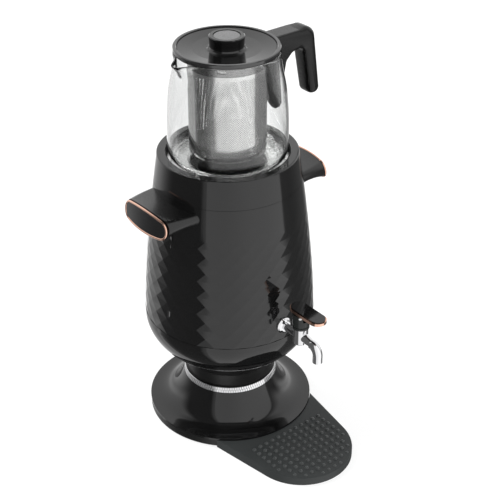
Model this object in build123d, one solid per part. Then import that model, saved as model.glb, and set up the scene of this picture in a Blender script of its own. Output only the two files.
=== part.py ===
from build123d import *
import math
import os

# Electric samovar: a faceted kettle body on a trumpet foot, with a tap over a drip tray and a glass
# teapot seated in its collar. Millimetres. +Z is up, the origin is on the body's axis at the surface
# it stands on, the tap and tray point towards -Y, and the side handles and the pot's handle lie along X.

os.makedirs("parts", exist_ok=True)

# ---------------------------------------------------------------- driving dimensions
WALL = 2.6                 # moulded covers
SHEET = 0.8                # stainless sheet

FOOT_R = 105.6             # rim of the trumpet foot
FOOT_Z = 13.0
FOOT_LIP_Z = 10.5          # lower edge of that rim
FOOT_POWER = 3.3           # how late the flare rises towards the ring
PLATE_R = 105.2            # base plate under the rim
PLATE_Z = (0.5, 10.4)
PLATE_SHEET = 4.0          # thickness of its floor under the ribs
SCREW_CIRCLE = 70.0        # base screws about the axis
RUBBER_R = (86.0, 96.0)    # anti-slip horseshoe
RUBBER_Z = 1.8

RING_R = (57.0, 59.6)      # knurled ring: root and tooth tip
RING_Z = (50.8, 58.2)
RING_TEETH = 120

NECK_R = 56.0
BOWL_R = 107.1             # widest radius of the body
BOWL_Z = 146.9             # height of that radius
BOWL_DROP = 63.8           # bowl's superellipse: height, reach and power
BOWL_REACH = 73.0
BOWL_POWER = 1.87
BOWL_FOOT_Z = 89.0
SEAM_Z = 153.5             # bowl meets the faceted shell
SEAM_GAP = 0.3

TAPER = 0.0069             # the body narrows by TAPER * (height above waist) ** 1.5
WAIST_Z = 150.0
COLLAR_Z = (334.3, 369.0)  # collar round the pot's seat
SHELL_TOP_Z = 334.0
SEAT_R = 74.4              # inner wall of the collar

FACET_COLUMNS = 30         # diamonds round the body
FACET_LEVELS = 13          # half diamonds from the seam up
FACET_RISE = 0.1058        # half a diamond's height over its radius

GLAND_R = 3.1              # opening for the mains lead
GLAND_LENGTH = 8.0
GLAND_Z = 5.8
BRIDGE_Z = 94.0            # sheet bridge under the tank
BOLT_Y = 30.0
BOLT_HOLE = 2.2
NECK_BORE = 52.0           # clear opening of the neck for the bolts and wires
TANK_R = 77.0
TANK_Z = (113.0, 351.0)
DISH_Z = 360.0             # ledge of the steel seat that carries the pot
MOUTH_R = 46.0             # steam opening under the pot

GLASS_WALL = 2.6
GLASS_RIM_Z = 494.3
POT_FLOOR_Z = DISH_Z
GLASS_HEEL_Z = 377.0       # the floor's round heel ends here
GLASS_R = 72.0             # widest radius of the glass
GLASS_BELLY_Z = 395.0      # height of that radius
BELLY_ARC = 440.0          # the side is three tangent arcs: belly, shoulder and hollow neck
SHOULDER_Z = 443.0
SHOULDER_ARC = 175.0
THROAT_Z = 463.6
THROAT_ARC = 160.0

BASKET_R = 46.0
BASKET_Z = (373.6, 479.0)
FLANGE_R = 61.2            # infuser's flange on the glass mouth
LID_R = 61.8
LID_Z = (495.3, 500.2)
PLATE_TOP_Z = 495.9        # lid plate under the knob
KNOB_R = 20.7
KNOB_TOP_Z = 511.8

TAP_Y = -137.5             # axis of the tap's barrel
TAP_Z = 172.6              # axis of its shank
SHANK_R = 4.8
SHANK_BORE = (2.5, 171.4)  # radius and height of the water way
CHAMBER_R = 9.2
CHAMBER_Z = (164.5, 187.0)
VALVE_SEAT_Z = 174.4
ARM_START = (-141.0, 175.3, 6.2)   # spout arm: Y, Z and radius at the barrel and at the shoulder
ARM_END = (-158.5, 172.8, 4.5)
DROP_R = 5.9               # curved drop of the spout
DROP_BORE = 4.5
DROP_Y = -168.6
SPOUT_TIP_Z = 153.0
BONNET_R = 10.4
BONNET_Z = (187.0, 206.5)
STEM_R = 1.9
CUP_HEIGHT = 4.2
SPRING_TOP_Z = 194.8
LEVER_Z = (208.6, 214.4)
LEVER_Y = (-122.5, -177.0)
LEVER_HALF = 10.8
PIVOT = (-144.5, 204.0)    # lever pivot in Y and Z
PIVOT_R = 1.5
FORK_SLOT = 1.4            # half height of the fork's slots round the stem's pin
RUNNING = 0.06             # radial running clearance

TRAY_Z = (0.0, 11.0)
TRAY_END_Y = -142.3        # centre of the tray's round end
TRAY_END_R = 65.2
TRAY_ROOT_R = 89.1         # radius about the body axis that the tray's sides are tangent to
TRAY_GAP = 0.4             # between the tray and the foot
TRAY_TONGUE = (45.0, 60.0)  # half width of the hidden tongue, and how far it reaches in
TONGUE_Z = (0.4, 5.0)

PAD_X = 125.5              # middle of a side handle's face
PAD_Z = 316.0
PAD_LEAN = 0.136           # the face leans in by this much over its height, like the body
PAD_CURVE = 250.0          # its radius seen from above
PAD_HALF = (41.8, 14.9)    # half length and half height
PAD_CAP_R = 12.5           # round ends; the long sides are flat arcs tangent to them
PAD_RIM = 2.6              # width and depth of the metal ring round the face
PAD_DEPTH = 3.6
ROOT_Z = 319.4             # middle of the handle's root on the body
ROOT_HALF = (47.0, 8.9)

GRIP_HALF = 13.0           # half width of the pot's handle
GRIP_ROUND = 3.8
ARM_Z = (496.4, 472.0)     # top and underside of its arm
ARM_ROOT_R = 62.8          # the arm stops short of the lid
BRACKET = (0.35, 5.2)      # strap on the glass: inner and outer gap
BRACKET_TOP_Z = 492.5
PANEL = (66.0, 21.0)       # inlay of the arm: length and width
PANEL_X = 78.4
PANEL_DEPTH = (1.6, 2.6)   # its face and the floor of its pocket below the top


# ---------------------------------------------------------------- helpers
def turned(*outline):
    """Solid of revolution about Z from a closed outline of (radius, height) points."""
    return revolve(Plane.XZ * make_face(Polyline(*outline, close=True)), Axis.Z)


def turned_curve(edges):
    """The same from a list of edges that already close."""
    return revolve(Plane.XZ * make_face(Curve() + edges), Axis.Z)


def rod(radius, start, end):
    """Round bar between two points."""
    a, b = Vector(*start), Vector(*end)
    return Plane(origin=a, z_dir=b - a) * Cylinder(
        radius, (b - a).length, align=(Align.CENTER, Align.CENTER, Align.MIN))


def tube(outer, inner, start, end):
    return rod(outer, start, end) - rod(inner, start, end)


def block(x, y, z):
    """Box between two corners, each axis given as (low, high)."""
    return Pos((x[0] + x[1]) / 2, (y[0] + y[1]) / 2, (z[0] + z[1]) / 2) * Box(
        x[1] - x[0], y[1] - y[0], z[1] - z[0])


def polar(radius, degrees, z=0.0):
    a = math.radians(degrees)
    return Vector(radius * math.cos(a), radius * math.sin(a), z)


def body_radius(z):
    """Smooth outer radius of the body above its waist."""
    return BOWL_R - TAPER * max(z - WAIST_Z, 0.0) ** 1.5


def body_points(low, high, count, inset=0.0):
    step = (high - low) / (count - 1)
    return [(body_radius(low + i * step) - inset, low + i * step) for i in range(count)]


def body_blank(inset=0.0):
    """Smooth solid of the upper body, for trimming what is fixed to it."""
    side = body_points(SEAM_Z, COLLAR_Z[1], 9, inset)
    edges = [Spline(*side), Line(side[-1], (0, side[-1][1])), Line((0, side[-1][1]), (0, side[0][1])),
             Line((0, side[0][1]), side[0])]
    return turned_curve(edges)


def bowl_point(turn):
    """Point of the bowl's superellipse, from its widest place (0) to its foot (quarter turn)."""
    power = 2 / BOWL_POWER
    r = BOWL_R - BOWL_REACH + BOWL_REACH * math.cos(turn) ** power
    return r, BOWL_Z - BOWL_DROP * math.sin(turn) ** power


# ---------------------------------------------------------------- base
def tray_outline():
    """Face of the drip tray: its round end joined by tangents to a circle about the body axis."""
    lean = math.asin((TRAY_ROOT_R - TRAY_END_R) / -TRAY_END_Y)
    normal = (math.cos(lean), -math.sin(lean))
    a = (normal[0] * TRAY_ROOT_R, normal[1] * TRAY_ROOT_R)
    b = (normal[0] * TRAY_END_R, TRAY_END_Y + normal[1] * TRAY_END_R)
    tip = (0, TRAY_END_Y - TRAY_END_R)
    return make_face(Curve() + [Line(a, b), ThreePointArc(b, tip, (-b[0], b[1])),
                                Line((-b[0], b[1]), (-a[0], a[1])), Line((-a[0], a[1]), a)])


def drip_tray():
    """Flat tray that hugs the foot, with a tongue that slides under it."""
    low, high = TRAY_Z
    plate = extrude(tray_outline(), high - low)
    plate = fillet(plate.faces().sort_by(Axis.Z)[-1].outer_wire().edges(), 1.4)
    plate -= Cylinder(FOOT_R + TRAY_GAP, 3 * high)
    half, reach = TRAY_TONGUE
    return plate + block((-half, half), (-FOOT_R - 6, -PLATE_R + reach), TONGUE_Z)


def base_plate():
    """Moulded plate with an upstand, a roofed slot for the tray's tongue and counterbored screws."""
    low, high = PLATE_Z
    floor = high - PLATE_SHEET
    plate = turned((0, low), (PLATE_R - 1.2, low), (PLATE_R, low + 1.2), (PLATE_R, high), (98.5, high),
                   (98.5, floor), (NECK_BORE + 4, floor), (NECK_BORE + 4, high), (NECK_BORE, high),
                   (NECK_BORE, floor), (0, floor))
    half, reach = TRAY_TONGUE
    slot = block((-half - 0.4, half + 0.4), (-PLATE_R - 5, -PLATE_R + reach + 0.5), (0, TONGUE_Z[1] + 0.3))
    roof = block((-half - 2.5, half + 2.5), (-PLATE_R + 6.5, -PLATE_R + reach + 2.5), (low, 7.0))
    plate += roof & Cylinder(PLATE_R - 4, 30)
    plate -= slot
    plate -= rubber_section()
    plate -= rod(4.2, (0, 96.4, GLAND_Z), (0, 110, GLAND_Z))
    plate -= block((-4.2, 4.2), (84, 97), (2.6, 7))
    for x, y in screw_places():
        plate += Pos(x, y, (low + high) / 2) * Cylinder(5, high - low)
        plate -= Pos(x, y, 5) * Cylinder(1.6, 12)
        plate -= Pos(x, y, 1.2) * Cylinder(3.4, 4)
    return plate


def screw_places():
    return [tuple(polar(SCREW_CIRCLE, a))[:2] for a in (30, 150, 210, 330)]


def rubber_section():
    (inner, outer), high = RUBBER_R, RUBBER_Z
    return turned((inner, 0), (outer, 0), (outer, high), (inner, high))


def foot_ring():
    """Rubber horseshoe, open where the tray's tongue goes in."""
    return rubber_section() - block((-55, 55), (-110, -50), (-1, 5))


def base_screws():
    screws = Part()
    for x, y in screw_places():
        screws += Pos(x, y, 2.1) * Cylinder(3.1, 1.9) + Pos(x, y, 10) * Cylinder(1.5, 14)
    return screws


def foot_point(share):
    """Trumpet flare of the foot, from its rim (0) to the ring (1)."""
    r = FOOT_R + (RING_R[1] + 0.6 - FOOT_R) * share
    return r, FOOT_Z + (RING_Z[0] - FOOT_Z) * share ** FOOT_POWER


def foot_bell():
    """Trumpet foot with a rolled rim and bosses for the screws from below."""
    flare = [foot_point(i / 8) for i in range(9)]
    inner = [(r - 2.0 - 1.2 * i / 8, z - 2.4) for i, (r, z) in enumerate(flare)]
    top, under = flare[-1][1], inner[-1][1]
    bore = NECK_BORE - 6
    edges = [Spline(*flare), Line(flare[-1], (bore, top)), Line((bore, top), (bore, under)),
             Line((bore, under), inner[-1]), Spline(*inner[::-1]), Line(inner[0], (FOOT_R, FOOT_LIP_Z)),
             Line((FOOT_R, FOOT_LIP_Z), flare[0])]
    bell = turned_curve(edges)
    room = turned((0, PLATE_Z[1]), *[(r - 1.0, z - 1.2) for r, z in flare], (0, top - 1.2))
    for x, y in screw_places():
        bell += (Pos(x, y, PLATE_Z[1] + 10) * Cylinder(4.4, 20)) & room
        bell -= Pos(x, y, 13) * Cylinder(1.52, 12)
    return bell


def knurled_ring():
    """Chrome ring with two staggered rows of sharp teeth and a groove between them."""
    low, high = RING_Z
    middle = (low + high) / 2
    root, tip = RING_R
    ring = turned((root - 3, low), (root, low), (root, high), (root - 3, high))
    for row, (a, b) in enumerate(((low + 0.5, middle - 0.4), (middle + 0.4, high - 0.5))):
        shift = 0.5 * row
        points = []
        for tooth in range(RING_TEETH):
            points.append(polar(tip, (tooth + shift) * 360 / RING_TEETH))
            points.append(polar(root + 0.7, (tooth + shift + 0.5) * 360 / RING_TEETH))
        star = make_face(Polyline(*points, close=True))
        ring += Pos(0, 0, a) * extrude(star, b - a) - Pos(0, 0, middle) * Cylinder(root - 1, 20)
    return ring


def neck_collar():
    """Dark stepped neck between the ring and the underside of the bowl."""
    low = RING_Z[1]
    inner, step, flare = NECK_R - 3, NECK_R + 1.2, NECK_R + 5
    return turned((inner, low), (NECK_R, low), (NECK_R, low + 9), (step, low + 10), (step, low + 18),
                  (flare, BOWL_FOOT_Z - 2.2), (flare, BOWL_FOOT_Z), (NECK_R + 1.5, BOWL_FOOT_Z),
                  (inner, low + 18))


# ---------------------------------------------------------------- body
def lower_bowl():
    """Glossy bowl: straight at the seam, then a superellipse down to the neck."""
    foot_turn = math.asin(((BOWL_Z - BOWL_FOOT_Z) / BOWL_DROP) ** (BOWL_POWER / 2))
    side = [bowl_point(foot_turn * i / 8) for i in range(9)]
    inner = [(r - WALL, z + WALL * min(1, i / 4)) for i, (r, z) in enumerate(side)]
    sill, floor = side[-1][1], inner[-1][1]
    edges = [Line((BOWL_R, SEAM_Z), side[0]), Spline(*side), Line(side[-1], (NECK_BORE, sill)),
             Line((NECK_BORE, sill), (NECK_BORE, floor)), Line((NECK_BORE, floor), inner[-1]),
             Spline(*inner[::-1]), Line(inner[0], (BOWL_R - WALL, SEAM_Z)),
             Line((BOWL_R - WALL, SEAM_Z), (BOWL_R, SEAM_Z))]
    return turned_curve(edges)


def facet_levels():
    levels = [SEAM_Z + SEAM_GAP]
    for _ in range(FACET_LEVELS):
        levels.append(levels[-1] + FACET_RISE * body_radius(levels[-1]))
    return levels


def facet_faces(levels):
    """Diamonds whose corners lie on the body: each is four facets that meet at its sunken centre.

    Corners stand where column plus level is odd, so neighbouring levels are staggered. The first and
    last levels end in half diamonds on the round edge."""
    half = 180 / FACET_COLUMNS

    def corner(column, level):
        return polar(body_radius(levels[level]), column * half, levels[level])

    faces = []
    last = len(levels) - 1
    for level in range(last + 1):
        for column in range(level % 2, 2 * FACET_COLUMNS, 2):
            left, right = corner(column - 1, level), corner(column + 1, level)
            if level == 0:
                rim = (left, corner(column, level), right, corner(column, level + 1))
                triangles = ((rim[0], rim[1], rim[3]), (rim[1], rim[2], rim[3]))
            elif level == last:
                rim = (right, corner(column, level), left, corner(column, level - 1))
                triangles = ((rim[0], rim[1], rim[3]), (rim[1], rim[2], rim[3]))
            else:
                rim = (left, corner(column, level - 1), right, corner(column, level + 1))
                centre = (rim[0] + rim[1] + rim[2] + rim[3]) * 0.25
                triangles = [(rim[i], rim[(i + 1) % 4], centre) for i in range(4)]
            faces += [Face(Wire.make_polygon(t, close=True)) for t in triangles]
    for level in (0, last):
        ring = [corner(column, level) for column in range(2 * FACET_COLUMNS)]
        faces.append(Face(Wire.make_polygon(ring if level else ring[::-1], close=True)))
    return faces


def body_shell():
    """Shell with the diamond facets that fade into a smooth upper band."""
    levels = facet_levels()
    faceted = Solid(Shell(facet_faces(levels)))
    upper = body_points(levels[-1], SHELL_TOP_Z, 4)
    smooth = turned_curve([Spline(*upper), Line(upper[-1], (0, SHELL_TOP_Z)),
                           Line((0, SHELL_TOP_Z), (0, levels[-1])), Line((0, levels[-1]), upper[0])])
    bore = body_points(SEAM_Z - 1, SHELL_TOP_Z + 1, 7, WALL + 0.4)
    hollow = turned_curve([Spline(*bore), Line(bore[-1], (0, bore[-1][1])),
                           Line((0, bore[-1][1]), (0, bore[0][1])), Line((0, bore[0][1]), bore[0])])
    shell = Part() + faceted + smooth
    shell -= hollow
    shell -= rod(SHANK_R + 0.4, (0, -90, TAP_Z), (0, -115, TAP_Z))
    for side in (-1, 1):
        for y, z in handle_screw_places():
            shell -= rod(1.7, (side * 80, y, z), (side * 100, y, z))
    return shell


def top_collar():
    """Collar whose top ring and inner wall form the pot's recess."""
    low, high = COLLAR_Z
    foot = TANK_Z[1] + SHEET
    outer = [(body_radius(z), z) for z in (low, low + 12, low + 24, high - 1.5)]
    rim_r = outer[-1][0]
    well_r, under = SEAT_R + WALL, high - WALL
    edges = [Spline(*outer), ThreePointArc(outer[-1], (rim_r - 0.5, high - 0.4), (rim_r - 1.6, high)),
             Line((rim_r - 1.6, high), (SEAT_R + 0.8, high)),
             ThreePointArc((SEAT_R + 0.8, high), (SEAT_R + 0.2, high - 0.2), (SEAT_R, high - 0.9)),
             Line((SEAT_R, high - 0.9), (SEAT_R, foot)), Line((SEAT_R, foot), (well_r, foot)),
             Line((well_r, foot), (well_r, under)), Line((well_r, under), (rim_r - WALL, under)),
             Line((rim_r - WALL, under), (outer[0][0] - WALL, low)),
             Line((outer[0][0] - WALL, low), outer[0])]
    return turned_curve(edges)


def seat_ring():
    """Soft black ring that closes the gap round the pot."""
    return turned((SEAT_R - 1.6, DISH_Z), (SEAT_R - 0.05, DISH_Z), (SEAT_R - 0.05, DISH_Z + 8),
                  (SEAT_R - 1.0, DISH_Z + 8), (SEAT_R - 1.6, DISH_Z + 4))


def seat_dish():
    """Pressed steel seat: a ledge for the pot, a step, and a flanged steam opening."""
    top, low = DISH_Z, TANK_Z[1]
    step, mouth = top - 4, MOUTH_R + SHEET
    upper = [(TANK_R + 2, low), (TANK_R + 2, low + SHEET), (SEAT_R, low + SHEET), (SEAT_R - 0.1, top - 1),
             (SEAT_R - 1.2, top), (60, top), (58.5, step), (49, step), (mouth, step - 2),
             (mouth, step - 10)]
    lower = [(MOUTH_R, step - 10), (MOUTH_R, step - 2.4), (48.6, step - SHEET), (59.1, step - SHEET),
             (60.6, top - SHEET), (SEAT_R - 1.6, top - SHEET), (SEAT_R - 0.9, top - 1.4),
             (SEAT_R - 0.9, low)]
    return turned(*upper, *lower)


def water_tank():
    """Drawn steel tank with a rounded foot and a rolled flange under the seat."""
    low, high = TANK_Z
    heel = 8
    outer = [(0, low), (TANK_R - heel, low), (TANK_R - 2.3, low + 2.3), (TANK_R, low + heel),
             (TANK_R, high - 2), (TANK_R + 2, high - SHEET), (TANK_R + 2, high)]
    inner = [(TANK_R - SHEET, high), (TANK_R - SHEET, low + heel), (TANK_R - 2.9, low + 3),
             (TANK_R - heel, low + SHEET), (0, low + SHEET)]
    return turned(*outer, *inner) - rod(SHANK_R + 0.2, (0, -60, TAP_Z), (0, -90, TAP_Z))


# ---------------------------------------------------------------- heating
def heater_plate():
    """Aluminium plate brazed under the tank, grooved for the element."""
    low = TANK_Z[0]
    return turned((12, low - 5), (64, low - 5), (66, low - 3), (66, low), (12, low)) - element_solid(3.7)


def element_solid(radius):
    """Horseshoe element: five sixths of a ring."""
    centre = Plane(origin=(50, 0, TANK_Z[0] - 5.2), x_dir=(1, 0, 0), z_dir=(0, 1, 0))
    section = centre * Circle(radius)
    return revolve(section, Axis.Z, revolution_arc=300)


def heating_element():
    element = element_solid(3.4)
    for a in (5, 295):
        foot = polar(50, a, TANK_Z[0] - 5.2)
        element += rod(2.8, (foot.X, foot.Y, foot.Z), (foot.X, foot.Y, foot.Z - 9))
        element += rod(1.2, (foot.X, foot.Y, foot.Z), (foot.X, foot.Y, foot.Z - 15))
    return element


def thermostat():
    """Snap-disc thermostat with its two tags, under the middle of the tank."""
    top = TANK_Z[0]
    case = turned((0, top - 13), (7.5, top - 13), (7.5, top - 3), (10, top - 3), (10, top), (0, top))
    for x in (-4, 4):
        case += block((x - 0.4, x + 0.4), (-3, 3), (top - 21, top - 13))
    return case


def tank_bracket():
    """Sheet bridge under the heater plate that the tie bolts pull down, open round the thermostat."""
    low, reach, sheet = BRIDGE_Z, 60, 1.5
    bridge = block((-9, 9), (-reach, reach), (low, low + sheet))
    bridge += Pos(0, 0, low + sheet / 2) * Cylinder(18, sheet)
    for side in (-1, 1):
        ends = sorted((side * reach, side * (reach - sheet)))
        bridge += block((-9, 9), ends, (low, TANK_Z[0] - 5))
        bridge -= Pos(0, side * BOLT_Y, low) * Cylinder(BOLT_HOLE, 6)
    return bridge - Pos(0, 0, low) * Cylinder(12, 6)


def tie_bolts():
    """Bolts from the bridge down through the bowl and neck into the foot."""
    bolts = Part()
    under = RING_Z[0] - 2.4 - 1.8
    for side in (-1, 1):
        y = side * BOLT_Y
        bolts += rod(2.0, (0, y, under - 4), (0, y, BRIDGE_Z + 3))
        bolts += Pos(0, y, BRIDGE_Z + 1.5) * extrude(RegularPolygon(4, 6), 3)
        bolts += Pos(0, y, under - 2.6) * extrude(RegularPolygon(4, 6), 2.6)
    return bolts


def clamp_washer():
    """Steel disc inside the neck that the tie bolts pull against."""
    high = RING_Z[0] - 2.4
    disc = turned((0, high - 1.8), (NECK_BORE, high - 1.8), (NECK_BORE, high), (0, high))
    for side in (-1, 1):
        disc -= Pos(0, side * BOLT_Y, high) * Cylinder(BOLT_HOLE, 6)
    return disc - Pos(25, 0, high) * Cylinder(9, 6)


def cord_gland():
    """Rubber bush in the base plate's rear edge, where the mains lead would enter."""
    y = PLATE_R - 6
    return tube(4.1, GLAND_R, (0, y, GLAND_Z), (0, y + GLAND_LENGTH, GLAND_Z))


def terminal_block():
    """Three-way connector block behind the gland."""
    block_body = block((-15, 15), (62, 76), (PLATE_Z[1] - 4, 16))
    for x in (-9.5, 0, 9.5):
        block_body -= rod(1.8, (x, 60, 11), (x, 78, 11))
        block_body -= Pos(x, 69, 15) * Cylinder(2, 6)
    return block_body


# ---------------------------------------------------------------- side handles
PAD = Plane(origin=(PAD_X, 0, PAD_Z), x_dir=(0, 1, 0), z_dir=(1, 0, PAD_LEAN))


def rounded_bar(half, high, cap, inset=0.0):
    """Long pill whose sides are flat arcs, tangent to its round ends."""
    side = ((half - cap) ** 2 + high ** 2 - cap ** 2) / (2 * (high - cap))
    reach = math.hypot(half - cap, side - high)
    x = half - cap + (cap - inset) * (half - cap) / reach
    y = (cap - inset) * (side - high) / reach
    tip, crown = half - inset, high - inset
    return make_face(Curve() + [ThreePointArc((-x, y), (0, crown), (x, y)),
                                ThreePointArc((x, y), (tip, 0), (x, -y)),
                                ThreePointArc((x, -y), (0, -crown), (-x, -y)),
                                ThreePointArc((-x, -y), (-tip, 0), (-x, y))])


def pad_block(inset, low, high):
    """Prism of the pad's outline between two depths behind its face, both curved like the body."""
    prism = PAD * (Pos(0, 0, -20) * extrude(rounded_bar(*PAD_HALF, PAD_CAP_R, inset), 30))
    return (prism & pad_drum(high)) - pad_drum(low)


def pad_drum(depth):
    """Cylinder whose surface is the pad's face, or lies behind it by a depth."""
    return PAD * (Pos(0, 0, -PAD_CURVE) * Rot(90, 0, 0) * Cylinder(PAD_CURVE - depth, 90))


def handle_screw_places():
    return [(-28, ROOT_Z), (28, ROOT_Z)]


def handle_right():
    """Moulded side handle: a thin root on the body that flares down into the pad."""
    root = Plane(origin=(78, 0, ROOT_Z), x_dir=(0, 1, 0), z_dir=(1, 0, 0)) * rounded_bar(*ROOT_HALF, 7.6)
    half_way = Plane(origin=(106, 0, ROOT_Z - 0.6), x_dir=(0, 1, 0), z_dir=(1, 0, 0.05))
    middle = half_way * rounded_bar(44, 10.2, 8.6)
    outer = PAD * (Pos(0, 0, -PAD_DEPTH + 1) * rounded_bar(*PAD_HALF, PAD_CAP_R))
    handle = (loft([root, middle, outer]) & pad_drum(PAD_DEPTH)) - body_blank()
    for y, z in handle_screw_places():
        handle -= rod(1.4, (80, y, z), (103, y, z))
    return handle


def handle_right_trim():
    """Metal ring round the face."""
    return pad_block(0, PAD_DEPTH, 0) - pad_block(PAD_RIM, PAD_DEPTH + 1, -1)


def handle_right_pad():
    return pad_block(PAD_RIM + 0.1, PAD_DEPTH, 0.6)


def mirrored(part):
    return mirror(part, Plane.YZ)


def handle_screws():
    """Screws through the shell into both handles, from inside."""
    screws = Part()
    for side in (-1, 1):
        for y, z in handle_screw_places():
            wall = math.sqrt((body_radius(z) - WALL - 0.4) ** 2 - y * y)
            screws += rod(1.35, (side * (wall - 1), y, z), (side * 102, y, z))
            screws += rod(3.0, (side * (wall - 3.6), y, z), (side * (wall - 1.2), y, z))
    return screws


# ---------------------------------------------------------------- tap
def tap_flange():
    """Domed escutcheon that fits the body's curve."""
    face = -body_radius(TAP_Z)
    dome = turned((0, -4), (10.2, -4), (10.2, 1.2), (8.8, 3.2), (6.6, 4.6), (0, 4.6))
    placed = Plane(origin=(0, face, TAP_Z), z_dir=(0, -1, 0)) * dome
    return placed - body_blank() - rod(SHANK_R + 0.05, (0, face + 5, TAP_Z), (0, face - 8, TAP_Z))


def arm_bore():
    """Water way from the valve chamber down the spout's arm."""
    return rod(2.7, (0, ARM_START[0] + 1, 178.0), (0, ARM_END[0] - 1, ARM_END[1]))


def tap_body():
    """Shank, valve chamber and seat in one casting: water rises through the seat to the arm."""
    low, high = CHAMBER_Z
    bore_r, bore_z = SHANK_BORE
    body = rod(SHANK_R, (0, -66, TAP_Z), (0, TAP_Y, TAP_Z))
    chamber = turned((0, low), (CHAMBER_R - 1.5, low), (CHAMBER_R, low + 1.5), (CHAMBER_R, high), (0, high))
    body += Pos(0, TAP_Y, 0) * chamber
    body -= rod(bore_r, (0, -60, bore_z), (0, TAP_Y, bore_z))
    body -= rod(6.8, (0, TAP_Y, VALVE_SEAT_Z), (0, TAP_Y, high + 1))
    body -= rod(3.0, (0, TAP_Y, bore_z - bore_r), (0, TAP_Y, VALVE_SEAT_Z + 1))
    return body - arm_bore()


SIDE = Plane(origin=(0, 0, 0), x_dir=(0, 1, 0), z_dir=(1, 0, 0))


def elbow(radius, low):
    """Curved drop of the spout: a short level start, a quarter turn and a straight end."""
    bend = ARM_END[0] + 0.6 - DROP_Y
    start, turn = (ARM_END[0] + 0.6, ARM_END[1]), (DROP_Y, ARM_END[1] - bend)
    middle = (DROP_Y + bend * (1 - math.sqrt(0.5)), ARM_END[1] - bend * (1 - math.sqrt(0.5)))
    path = SIDE * (Curve() + [ThreePointArc(start, middle, turn), Line(turn, (DROP_Y, low))])
    section = Plane(origin=(0, start[0], start[1]), z_dir=(0, -1, 0)) * Circle(radius)
    return sweep(section, path=Wire(path.edges()))


def tap_spout():
    """Tapered arm from the barrel and a wider curved drop."""
    (y0, z0, r0), (y1, z1, r1) = ARM_START, ARM_END
    axis = Vector(0, y1 - y0, z1 - z0)
    arm = Plane(origin=(0, y0, z0), z_dir=axis) * Cone(
        r0, r1, axis.length, align=(Align.CENTER, Align.CENTER, Align.MIN))
    spout = arm + elbow(DROP_R, SPOUT_TIP_Z)
    spout -= Pos(0, TAP_Y, 176) * Cylinder(CHAMBER_R, 40)
    return spout - arm_bore() - elbow(DROP_BORE, SPOUT_TIP_Z - 1)


def tap_bonnet():
    """Black barrel: a groove near its foot, a slot for the lever's hub and ears for its pin."""
    low, high = BONNET_Z
    groove = BONNET_R - 0.8
    barrel = turned((0, low), (BONNET_R, low), (BONNET_R, low + 2.6), (groove, low + 3.0),
                    (groove, low + 3.8), (BONNET_R, low + 4.2), (BONNET_R, high - 1), (BONNET_R - 1, high),
                    (0, high))
    barrel = Pos(0, TAP_Y, 0) * barrel
    barrel -= block((-4.8, 4.8), (TAP_Y - 14, TAP_Y + 14), (high - 8.0, high + 1))
    barrel -= rod(5.2, (0, TAP_Y, low - 1), (0, TAP_Y, SPRING_TOP_Z + 0.5))
    barrel -= rod(STEM_R + RUNNING, (0, TAP_Y, low), (0, TAP_Y, high))
    return barrel - rod(PIVOT_R, (-12, *PIVOT), (12, *PIVOT))


def tap_nut():
    """Hexagon nut on the shank inside the tank."""
    nut = Plane(origin=(0, -72.5, TAP_Z), z_dir=(0, 1, 0)) * extrude(RegularPolygon(9.5, 6), 5)
    return nut - rod(SHANK_R + 0.02, (0, -60, TAP_Z), (0, -80, TAP_Z))


def tap_gasket():
    """Silicone washer between the nut and the tank's wall."""
    bar = tube(9.0, SHANK_R + 0.02, (0, -72.6, TAP_Z), (0, -77.5, TAP_Z))
    return bar & turned((0, 150), (TANK_R - SHEET - 0.02, 150), (TANK_R - SHEET - 0.02, 200), (0, 200))


def tap_stem():
    """Valve stem with an eye at its head and a disc that carries the cup."""
    low = VALVE_SEAT_Z + 0.05
    stem = rod(STEM_R, (0, TAP_Y, low + 1.3), (0, TAP_Y, PIVOT[1] + 2.0))
    stem += rod(4.4, (0, TAP_Y, low + CUP_HEIGHT + 0.05), (0, TAP_Y, low + CUP_HEIGHT + 1.2))
    return stem - rod(1.01, (-6, TAP_Y, PIVOT[1]), (6, TAP_Y, PIVOT[1]))


def stem_pin():
    return rod(1.0, (-4.2, TAP_Y, PIVOT[1]), (4.2, TAP_Y, PIVOT[1]))


def valve_cup():
    """Silicone cup that closes the seat."""
    low = VALVE_SEAT_Z + 0.05
    cup = turned((0, low), (4.4, low), (5.2, low + 1.2), (5.2, low + CUP_HEIGHT), (0, low + CUP_HEIGHT))
    return Pos(0, TAP_Y, 0) * (cup - rod(STEM_R + 0.01, (0, 0, low + 1.2), (0, 0, low + 10)))


def tap_spring():
    """Coil that holds the cup on its seat."""
    low = VALVE_SEAT_Z + CUP_HEIGHT + 2.0
    coil = Helix(pitch=(SPRING_TOP_Z - low) / 5, height=SPRING_TOP_Z - low, radius=3.6)
    wire = sweep(Plane(origin=coil @ 0, z_dir=coil % 0) * Circle(0.4), path=Wire(coil), is_frenet=True)
    return Pos(0, TAP_Y, low) * wire


def paddle(inset, low, high):
    """Stadium block of the lever between two heights."""
    half = LEVER_HALF - inset
    back, front = LEVER_Y[0] - LEVER_HALF, LEVER_Y[1] + LEVER_HALF
    slot = Pos(0, (back + front) / 2) * SlotCenterToCenter(back - front, 2 * half, rotation=90)
    return Pos(0, 0, low) * extrude(slot, high - low)


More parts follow.
